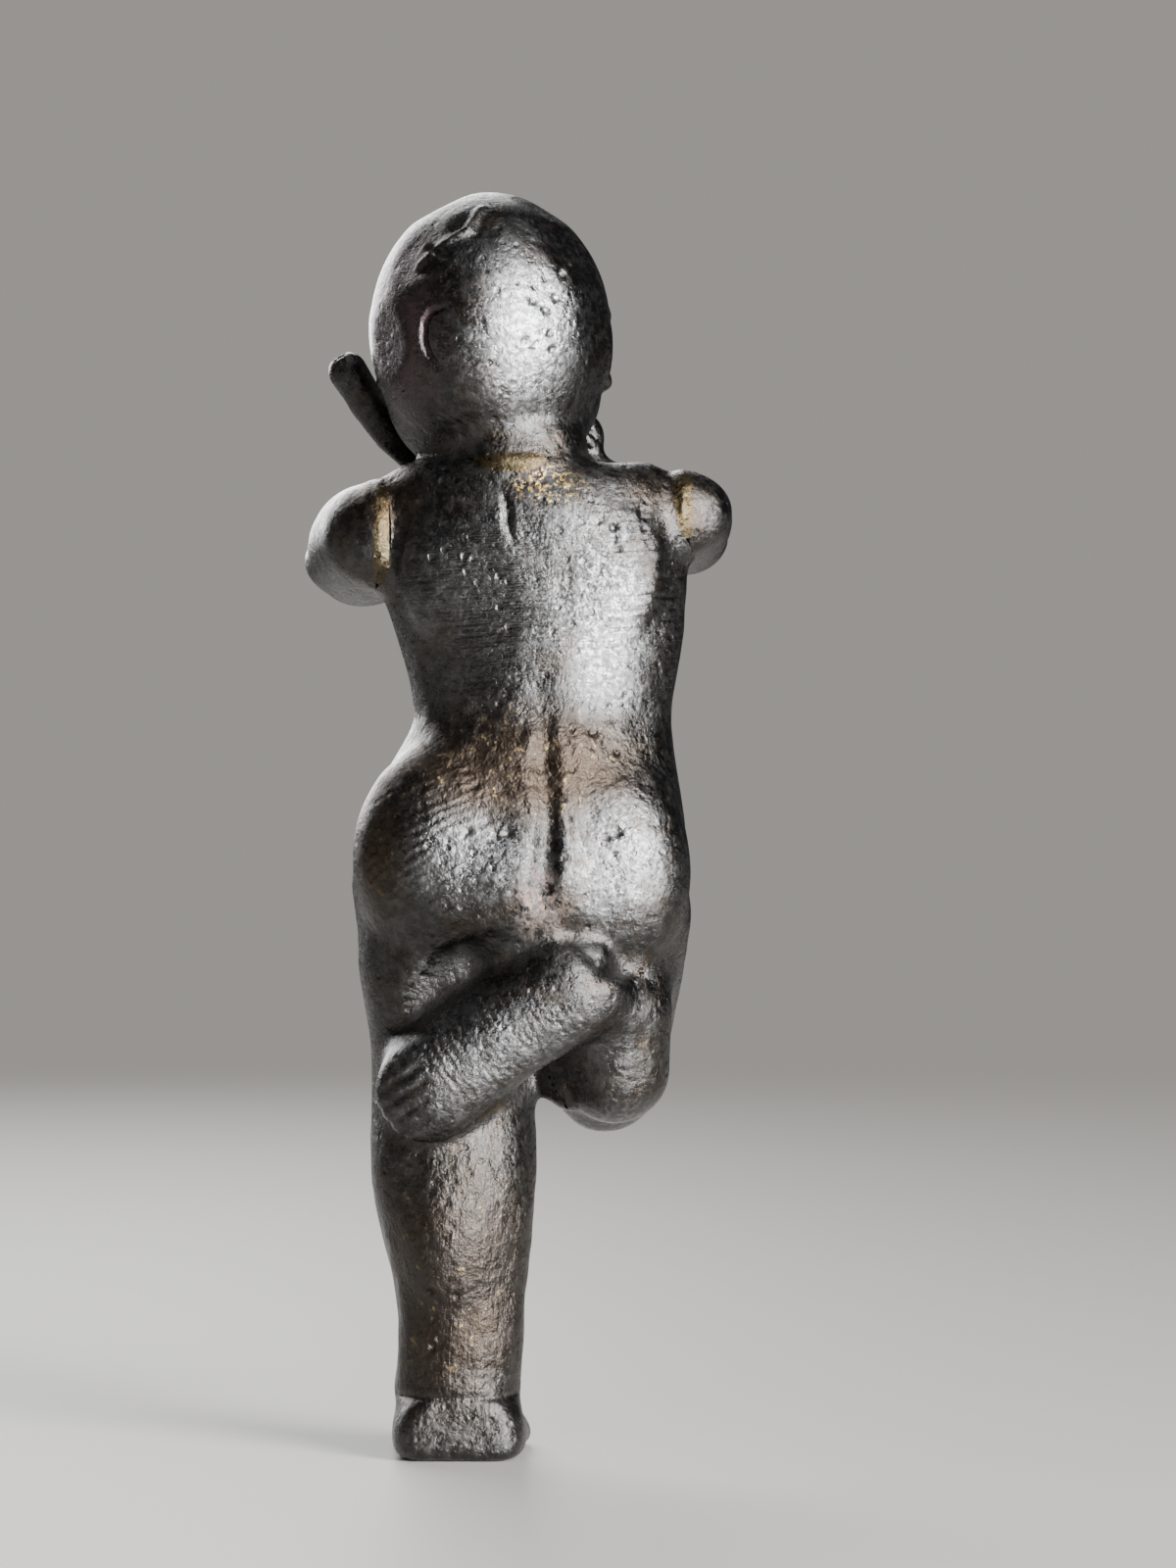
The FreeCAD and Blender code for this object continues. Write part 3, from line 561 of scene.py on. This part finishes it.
def settle(points, outer, seam, part):
    """Moves the points onto the outer surface, or onto the corner where it meets a seam."""
    for _ in range(SETTLE_ROUNDS):
        d, r = sample(outer, points, part), sample(seam, points, part)
        gd, gr = slope(outer, points, part), slope(seam, points, part)
        dd, rr, dr = (gd * gd).sum(1), (gr * gr).sum(1), (gd * gr).sum(1)
        corner = (np.abs(d) < CORNER_REACH) & (np.abs(r) < CORNER_REACH)
        det = np.maximum(dd * rr - dr * dr, 1e-3)
        both = gd * ((rr * d - dr * r) / det)[:, None] + gr * ((dd * r - dr * d) / det)[:, None]
        to_outer = gd * (d / np.maximum(dd, 0.05))[:, None]
        to_seam = gr * (r / np.maximum(rr, 0.05))[:, None]
        single = np.where((d > r)[:, None], to_outer, to_seam)
        move = np.where(corner[:, None], both, single)
        size = np.linalg.norm(move, axis=1, keepdims=True)
        points = points - move * np.minimum(1, LONGEST_MOVE / np.maximum(size, TINY))
    return points


def make_piece(name):
    """The closed mesh of one section, cut from the figure where the section's claim is the strongest."""
    number = NODES.index(name)
    others = np.where(scores[number] >= first, second, first)
    gap = others - scores[number]
    part = window(*boxes[name], room=PIECE_ROOM)
    part = tuple(slice(s.start - s.start % 2, s.stop + s.stop % 2) for s in part)
    rough_part = tuple(slice(s.start // 2, s.stop // 2) for s in part)
    # One more coarse sample at each side, so that both sides of a seam get the same values.
    wide = tuple(slice(max(s.start - 1, 0), s.stop + 1) for s in rough_part)
    seam = finer(gap[wide])
    starts = [2 * (r.start - w.start) for r, w in zip(rough_part, wide)]
    seam = seam[tuple(slice(a, a + s.stop - s.start) for a, s in zip(starts, part))]
    outer = distance[part]
    values = np.maximum(outer, seam)
    # The grid's own sides are outside, so that the surface closes.
    for axis in range(3):
        for end in (0, -1):
            edge = [slice(None)] * 3
            edge[axis] = end
            values[tuple(edge)] = np.maximum(values[tuple(edge)], 0.5 * STEP)
    values = np.where(np.abs(values) < NOT_ZERO, NOT_ZERO, values)
    points, quads = net(values, part)
    points = settle(points, outer, seam, part)
    points, quads = keep_largest(points, quads)

    mesh = bpy.data.meshes.new(name + "_cast")
    mesh.from_pydata((points * MM).tolist(), [], quads.tolist())
    mesh.validate()
    depth = sample(blurred[part], points, part).astype(np.float32)
    mesh.attributes.new("hollow", "FLOAT", "POINT").data.foreach_set("value", depth)
    on_skin = sample(outer, points, part) > -0.3 * STEP
    normals = slope(outer, points, part)
    normals /= np.maximum(np.linalg.norm(normals, axis=1, keepdims=True), 1e-6)
    mesh.shade_smooth()
    mesh.update()
    own = np.empty(len(mesh.vertices) * 3)
    mesh.vertex_normals.foreach_get("vector", own)
    normals = np.where(on_skin[:, None], normals, own.reshape(-1, 3))
    mesh.normals_split_custom_set_from_vertices(normals.tolist())
    piece = bpy.data.objects.new(name + "_cast", mesh)
    bpy.context.scene.collection.objects.link(piece)
    return piece


def keep_largest(points, quads):
    """The largest connected surface only."""
    label = np.arange(len(points))
    while True:
        least = label[quads].min(1)
        after = label.copy()
        for corner in range(4):
            np.minimum.at(after, quads[:, corner], least)
        after = after[after]
        if (after == label).all():
            break
        label = after
    names, sizes = np.unique(label, return_counts=True)
    keep = label == names[sizes.argmax()]
    number = np.cumsum(keep) - 1
    quads = quads[keep[quads[:, 0]]]
    return points[keep], number[quads]


# ---------------------------------------------------------------- materials
BARE_AND_HIGHLIGHT = (0.4, 0.405, 0.42)        # worn bare metal, also the colour of the painted highlights
GOLD = (0.72, 0.5, 0.2)          # yellow metal under the patina
BROWN_AND_SHADE = (0.055, 0.032, 0.016)    # brown patina, also painted shade on the calf
VIOLET = (0.13, 0.085, 0.11)     # the tint at the left of the head
HOLLOW_SHADE = (0.022, 0.02, 0.018)      # painted shade in the hollows
DEPOSIT = (0.2, 0.14, 0.12)      # pale dust at the foot of the hips' middle line
FLOOR = (0.4, 0.385, 0.36)
FLOOR_RADIUS, FLOOR_SIDES = 3, 64
FADE_FROM, FADE_TO = 0.06, 0.42  # where the floor fades out, metres from its middle
CAMERA_DISTANCE = 0.3
CAMERA_ACROSS, CAMERA_UP = 0.338, 0.531  # shares of the figure's width and height
SKY_REFLECTED = (0.05, 0.05, 0.055, 1)
SKY_SEEN = (0.34, 0.325, 0.3, 1)
PATINA_SHADE = 0.42              # share of the record's colour that the patina lets through
BEAD_SHADE = 0.25                # the same on a braze bead
BEAD_GOLD = 0.06                 # how much yellow shows on a braze bead
HOLLOW_FROM, HOLLOW_TO = -0.04, -0.5  # blurred distances where the painted shade begins and is full, mm


class Graph:
    """Short names for building a shader from nodes."""

    def __init__(self, material):
        material.use_nodes = True
        self.tree = material.node_tree
        self.tree.nodes.clear()

    def node(self, kind, settings=None, **values):
        made = self.tree.nodes.new("ShaderNode" + kind)
        for key, value in (settings or {}).items():
            setattr(made, key, value)
        for key, value in values.items():
            self.feed(made.inputs[key.replace("_", " ")], value)
        return made

    def feed(self, socket, value):
        if isinstance(value, bpy.types.NodeSocket):
            self.tree.links.new(value, socket)
        else:
            socket.default_value = value

    def math(self, operation, a, b=0.0, clamp=False):
        made = self.node("Math", {"operation": operation, "use_clamp": clamp})
        self.feed(made.inputs[0], a)
        self.feed(made.inputs[1], b)
        return made.outputs[0]

    def ramp(self, value, low_in, high_in, low_out=0.0, high_out=1.0):
        made = self.node("MapRange", {"interpolation_type": "SMOOTHSTEP"}, Value=value)
        keys = ("From Min", "From Max", "To Min", "To Max")
        for key, number in zip(keys, (low_in, high_in, low_out, high_out)):
            made.inputs[key].default_value = number
        return made.outputs[0]

    def mix(self, share, a, b):
        made = self.node("Mix", {"data_type": "RGBA"})
        self.feed(made.inputs[0], share)
        for socket, value in ((made.inputs[6], a), (made.inputs[7], b)):
            self.feed(socket, value if isinstance(value, bpy.types.NodeSocket) else (*value, 1.0))
        return made.outputs[2]

    def times(self, a, b):
        return self.math("MULTIPLY", a, b)

    def plus(self, a, b):
        return self.math("ADD", a, b)

    def most(self, a, b):
        return self.math("MAXIMUM", a, b)

    def shares(self, start, zones):
        """The most of a start and of several zones, each multiplied by its share."""
        value = start
        for zone, share in zones:
            value = self.most(value, self.times(zone, share))
        return value

    def noise(self, where, scale, detail, rough, distortion=0.0):
        settings = {"Scale": scale, "Detail": detail, "Roughness": rough, "Distortion": distortion}
        return self.node("TexNoise", Vector=where, **settings).outputs["Fac"]

    def moved(self, where, centre, turn=(0, 0, 0), scale=(1, 1, 1)):
        """Coordinates from a centre, along turned axes, each multiplied by a scale."""
        place = self.node("VectorMath", {"operation": "SUBTRACT"})
        self.feed(place.inputs[0], where)
        place.inputs[1].default_value = tuple(centre)
        how = {"rotation_type": "EULER_XYZ", "invert": True}
        spin = self.node("VectorRotate", how, Vector=place.outputs[0])
        spin.inputs["Rotation"].default_value = tuple(math.radians(t) for t in turn)
        size = self.node("VectorMath", {"operation": "MULTIPLY"})
        self.feed(size.inputs[0], spin.outputs[0])
        size.inputs[1].default_value = tuple(scale)
        return size.outputs[0]

    def zone(self, where, centre, radii, wobble):
        """1 inside an ellipsoid, 0 outside, with an uneven edge."""
        reach = self.moved(where, centre, scale=[1 / r for r in radii])
        length = self.node("VectorMath", {"operation": "LENGTH"})
        self.feed(length.inputs[0], reach)
        uneven = self.math("MULTIPLY_ADD", wobble, 0.7)
        uneven.node.inputs[2].default_value = -0.35
        return self.ramp(self.math("ADD", length.outputs["Value"], uneven), 0.4, 1.25, 1.0, 0.0)


def cast_finish(name, base, bead_gold):
    """A grey-brown patina over filed cast metal, one finish over the whole figure."""
    material = bpy.data.materials.new(name)
    g = Graph(material)
    metres = g.node("TexCoord").outputs["Object"]
    scaled = g.node("VectorMath", {"operation": "SCALE"}, Scale=1000.0)
    g.feed(scaled.inputs[0], metres)
    where = scaled.outputs[0]
    hollows = g.node("Attribute", {"attribute_name": "hollow"}).outputs["Fac"]

    broad = g.noise(where, 0.16, 4.0, 0.6, 0.4)
    cloud = g.noise(g.moved(where, (31, 7, 5)), 0.45, 5.0, 0.62, 0.6)
    grain = g.noise(where, 1.7, 6.0, 0.62)
    fine = g.noise(g.moved(where, (5, 3, 9)), 6.5, 4.0, 0.6)
    speck = g.noise(g.moved(where, (1, 17, 2)), 3.4, 5.0, 0.7)

    def zone(node, place, radii):
        return g.zone(where, at(node, *place), radii, cloud)

    # Zones with their own wear, and the zones of painted highlight, from the boxes of the sections.
    head_highlight = zone("head", (0.367, 0.896, 0.55), (3.1, 5.0, 4.6))
    back_highlight = zone("torso", (0.265, 0.942, 0.496), (2.3, 4.0, 5.2))
    right_cheek_highlight = zone("hips", (0.21, 0.87, 0.425), (2.7, 4.0, 3.6))
    left_cheek_highlight = zone("hips", (0.654, 0.95, 0.457), (3.2, 4.0, 2.4))
    tips_highlight = zone("bent_thigh", (0.411, 0.619, 0.089), (3.0, 9.0, 1.5))
    smooth_back = zone("torso", (0.517, 0.942, 0.561), (7.0, 6.0, 4.8))
    mottled = zone("hips", (0.502, 0.87, 0.819), (8.0, 5.0, 3.2))
    cheeks = zone("hips", (0.759, 0.83, 0.449), (4.6, 5.0, 5.0))
    calf = zone("standing_leg", (0.466, 0.689, 0.303), (5.0, 6.0, 8.0))
    knee = zone("bent_thigh", (0.288, 0.477, 0.269), (3.6, 8.0, 4.2))
    instep = zone("bent_foot", (0.553, 0.846, 0.527), (6.0, 4.0, 3.6))
    flank = zone("torso", (0.177, 0.894, 0.509), (3.6, 6.0, 6.5))
    deposit = zone("hips", (0.444, 0.91, 0.276), (1.5, 4.0, 1.9))
    deposit = g.times(deposit, g.ramp(grain, 0.42, 0.58))
    nape = zone("torso", (0.454, 0.797, 0.915), (2.0, 4.0, 1.1))
    left_top = zone("left_upper_arm", (0.309, 0.887, 0.832), (2.6, 4.0, 2.2))
    right_top = zone("right_upper_arm", (0.727, 0.919, 0.81), (2.8, 4.0, 1.8))
    temple = zone("head", (0.907, 0.746, 0.58), (3.4, 6.0, 5.2))
    outer_hip = zone("hips", (0.935, 0.671, 0.528), (2.6, 6.0, 4.4))

    def file_marks(centre, tilt, pitch, kind, area, share=1.0):
        """Bands or rings that a file left in an area, with a pitch in mm."""
        local = g.moved(where, centre, (0, tilt, 0))
        kinds = {"wave_type": kind, "bands_direction": "Z", "rings_direction": "Y", "wave_profile": "SIN"}
        wave = {"Scale": 2 * math.pi / (20 * pitch), "Distortion": 6.0, "Detail": 3.0, "Detail_Scale": 0.5}
        bands = g.node("TexWave", kinds, Vector=local, **wave).outputs["Fac"]
        return g.times(g.times(bands, area), g.ramp(cloud, 0.42, 0.6, share * 0.15, share))

    bands = file_marks(at("torso", 0.24, 0.99, 0.509), 4, 0.5, "BANDS", flank)
    bands = g.most(bands, file_marks(at("hips", 0.385, 0.83, -0.417), 0, 0.46, "RINGS", cheeks))
    bands = g.most(bands, file_marks(at("bent_thigh", 0.975, 0.69, 0.308), 0, 0.52, "RINGS", knee))
    bands = g.most(bands, file_marks(at("bent_foot", -0.061, 0.757, 1.07), 0, 0.44, "RINGS", instep, 0.5))
    # Fine scratches across the back and along the calf.
    across = g.noise(g.moved(where, (0, 0, 0), (0, 3, 0), (0.22, 0.4, 5.0)), 1.0, 4.0, 0.65)
    lengthwise = g.noise(g.moved(where, (4, 0, 0), (0, -3, 0), (3.0, 3.0, 0.28)), 1.0, 4.0, 0.65)

    # Colour.
    dark = tuple(0.62 * c for c in base)
    colour = g.mix(g.ramp(grain, 0.38, 0.66), dark, base)
    # Painted highlight, partly real wear: bright bare metal is mixed in where the key light's highlights
    # fall, on the head, the right of the back, the cheeks of the hips and the tips of the bent thigh, and a
    # little on the smooth back and the instep.
    burnish_and_highlight = g.shares(g.times(smooth_back, 0.3), (
        (head_highlight, 1.0), (back_highlight, 0.75), (right_cheek_highlight, 0.6), (left_cheek_highlight, 0.5), (tips_highlight, 0.5), (instep, 0.3)))
    worn_and_highlight = g.times(g.ramp(speck, 0.44, 0.62, 0.25, 1.0), burnish_and_highlight)
    colour = g.mix(worn_and_highlight, colour, BARE_AND_HIGHLIGHT)
    # Brown patina, most where nothing has rubbed it off; on the calf it is also painted shade that darkens
    # the lower leg.
    stain_and_shade = g.shares(0.0, (
        (temple, 0.4), (left_top, 0.75), (right_top, 0.75), (outer_hip, 0.6), (mottled, 0.6), (calf, 0.55)))
    stain_and_shade = g.times(stain_and_shade, g.ramp(broad, 0.3, 0.6, 0.45, 1.0))
    tint = g.most(g.times(g.ramp(cloud, 0.46, 0.72), 0.5), stain_and_shade)
    tint = g.times(tint, g.math("SUBTRACT", 1.0, g.times(burnish_and_highlight, 0.8)))
    colour = g.mix(tint, colour, BROWN_AND_SHADE)
    colour = g.mix(g.times(g.times(temple, g.ramp(broad, 0.35, 0.65)), 0.6), colour, VIOLET)
    # Yellow metal shows in specks where the patina is off.
    specks = g.times(g.ramp(grain, 0.56, 0.66), g.ramp(speck, 0.5, 0.6))
    yellow = g.shares(nape, (
        (left_top, 0.3), (right_top, 0.3), (mottled, 0.55), (calf, 0.35), (outer_hip, 0.3)))
    colour = g.mix(g.times(specks, yellow), colour, GOLD)
    colour = g.mix(g.times(nape, g.ramp(speck, 0.5, 0.6)), colour, GOLD)
    # Painted shade: the colour darkens to near black in the hollows.
    hollow_shade = g.ramp(hollows, HOLLOW_FROM, HOLLOW_TO)
    colour = g.mix(g.times(hollow_shade, 0.75), colour, HOLLOW_SHADE)
    colour = g.mix(g.times(deposit, g.ramp(speck, 0.42, 0.56)), colour, DEPOSIT)
    if bead_gold:
        colour = g.mix(g.times(g.ramp(speck, 0.55, 0.62), bead_gold), colour, GOLD)

    # Roughness.
    rough = g.plus(g.ramp(grain, 0.3, 0.7, 0.19, 0.36), g.ramp(fine, 0.35, 0.65, -0.04, 0.05))
    rough = g.plus(rough, g.times(g.most(mottled, calf), 0.1))
    rough = g.plus(rough, g.times(deposit, 0.3))
    polish = g.times(g.most(temple, smooth_back), 0.06)
    rough = g.math("SUBTRACT", rough, polish, clamp=True)

    # Relief, in mm.
    cells = g.node("TexVoronoi", {"feature": "F1"}, Vector=where, Scale=1.15, Randomness=1.0)
    pits = g.ramp(cells.outputs["Distance"], 0.1, 0.26)
    even = g.most(smooth_back, g.most(head_highlight, temple))
    relief = g.times(grain, g.ramp(even, 0.0, 1.0, 0.11, 0.055))
    streaks = g.times(across, g.most(smooth_back, flank))
    streaks = g.plus(streaks, g.times(lengthwise, calf))
    coarse = g.times(g.noise(where, 1.0, 5.0, 0.6), g.most(mottled, calf))
    for part, height in (
        (fine, 0.028), (speck, 0.05), (pits, 0.035), (bands, 0.04), (streaks, 0.09), (coarse, 0.22)
    ):
        relief = g.plus(relief, g.times(part, height))
    bump = g.node("Bump", Height=relief, Strength=1.0, Distance=MM)

    # The deposit and the painted shade in the hollows make the metal less metallic.
    metallic = g.math("SUBTRACT", 1.0, g.times(g.most(deposit, hollow_shade), 0.5))
    shader = g.node("BsdfPrincipled", Metallic=metallic, Roughness=rough, Normal=bump.outputs[0])
    g.feed(shader.inputs["Base Color"], colour)
    output = g.node("OutputMaterial")
    g.tree.links.new(shader.outputs[0], output.inputs["Surface"])
    return material


finishes = {}
for entry in frame["record"]["materials"]:
    bead = entry["slot"].startswith("braze")
    shade = tuple((BEAD_SHADE if bead else PATINA_SHADE) * c for c in entry["base_color"])
    finishes[entry["slot"]] = cast_finish(entry["slot"], shade, BEAD_GOLD if bead else 0.0)
slot_of = {part["node"]: part["material_slot"] for part in frame["record"]["subparts"]}

for name in NODES:
    piece = make_piece(name)
    piece.data.materials.append(finishes[slot_of[name]])
    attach(piece, "root")
    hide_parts(name)

# ---------------------------------------------------------------- floor, light and camera
angles = np.linspace(0, 2 * math.pi, FLOOR_SIDES + 1)[:-1]
rim = [(FLOOR_RADIUS * math.cos(a), FLOOR_RADIUS * math.sin(a), 0) for a in angles]
floor_mesh = bpy.data.meshes.new("floor")
floor_mesh.from_pydata(rim, [], [list(range(FLOOR_SIDES))])
floor = bpy.data.objects.new("floor", floor_mesh)
bpy.context.scene.collection.objects.link(floor)
floor_material = bpy.data.materials.new("floor")
g = Graph(floor_material)
plain = g.node("BsdfPrincipled", Roughness=0.6)
plain.inputs["Base Color"].default_value = (*FLOOR, 1)
# Far from the figure the floor fades into the backdrop.
away = g.node("VectorMath", {"operation": "LENGTH"})
g.feed(away.inputs[0], g.node("TexCoord").outputs["Object"])
fade = g.node("MixShader")
g.feed(fade.inputs[0], g.ramp(away.outputs["Value"], FADE_FROM, FADE_TO))
g.tree.links.new(plain.outputs[0], fade.inputs[1])
g.tree.links.new(g.node("BsdfTransparent").outputs[0], fade.inputs[2])
g.tree.links.new(fade.outputs[0], g.node("OutputMaterial").inputs["Surface"])
floor_mesh.materials.append(floor_material)

centre = Vector((0.5 * (whole[0] + whole[1]) * MM).tolist())


def softbox(name, direction, distance_m, size, power, colour=(1, 1, 1)):
    """A lamp with a width and a height in metres that shines on the middle of the figure."""
    lamp = bpy.data.lights.new(name, "AREA")
    lamp.shape, lamp.size, lamp.size_y = "RECTANGLE", size[0], size[1]
    lamp.energy, lamp.color = power, colour
    thing = bpy.data.objects.new(name, lamp)
    thing.location = centre + Vector(direction).normalized() * distance_m
    thing.rotation_euler = Vector(direction).to_track_quat("Z", "Y").to_euler()
    bpy.context.scene.collection.objects.link(thing)


softbox("key", (-0.62, 0.76, 0.14), 0.36, (0.15, 0.22), 7.5)
softbox("overhead", (-0.3, 0.45, 1.0), 0.4, (0.3, 0.2), 0.55)
softbox("left_rim", (0.95, 0.1, 0.1), 0.4, (0.06, 0.3), 0.12, (1.0, 0.93, 0.84))
softbox("front_fill", (0.35, -1.0, 0.45), 0.6, (0.4, 0.4), 4.5)

# A backdrop that looks pale but hardly lights the metal.
world = bpy.data.worlds.new("studio")
bpy.context.scene.world = world
world.use_nodes = True
world.node_tree.nodes.clear()
tree = world.node_tree
path = tree.nodes.new("ShaderNodeLightPath")
seen = tree.nodes.new("ShaderNodeMix")
seen.data_type = "RGBA"
seen.inputs[6].default_value = SKY_REFLECTED
seen.inputs[7].default_value = SKY_SEEN
tree.links.new(path.outputs["Is Camera Ray"], seen.inputs[0])
sky = tree.nodes.new("ShaderNodeBackground")
tree.links.new(seen.outputs[2], sky.inputs["Color"])
tree.links.new(sky.outputs[0], tree.nodes.new("ShaderNodeOutputWorld").inputs["Surface"])

# The camera looks level at the figure's back, a little to the right of its middle.
camera = bpy.data.objects.new("camera", bpy.data.cameras.new("camera"))
camera.data.sensor_fit = "VERTICAL"
camera.data.sensor_width = camera.data.sensor_height = 36
camera.data.lens = 135
low_corner, high_corner = Vector(size_before[0]), Vector(size_before[1])
across = low_corner.x + CAMERA_ACROSS * (high_corner.x - low_corner.x)
camera.location = (across, CAMERA_DISTANCE, CAMERA_UP * high_corner.z)
camera.rotation_euler = (math.radians(90), 0, math.radians(180))
camera.data.clip_start = 0.01
bpy.context.scene.collection.objects.link(camera)
bpy.context.scene.camera = camera
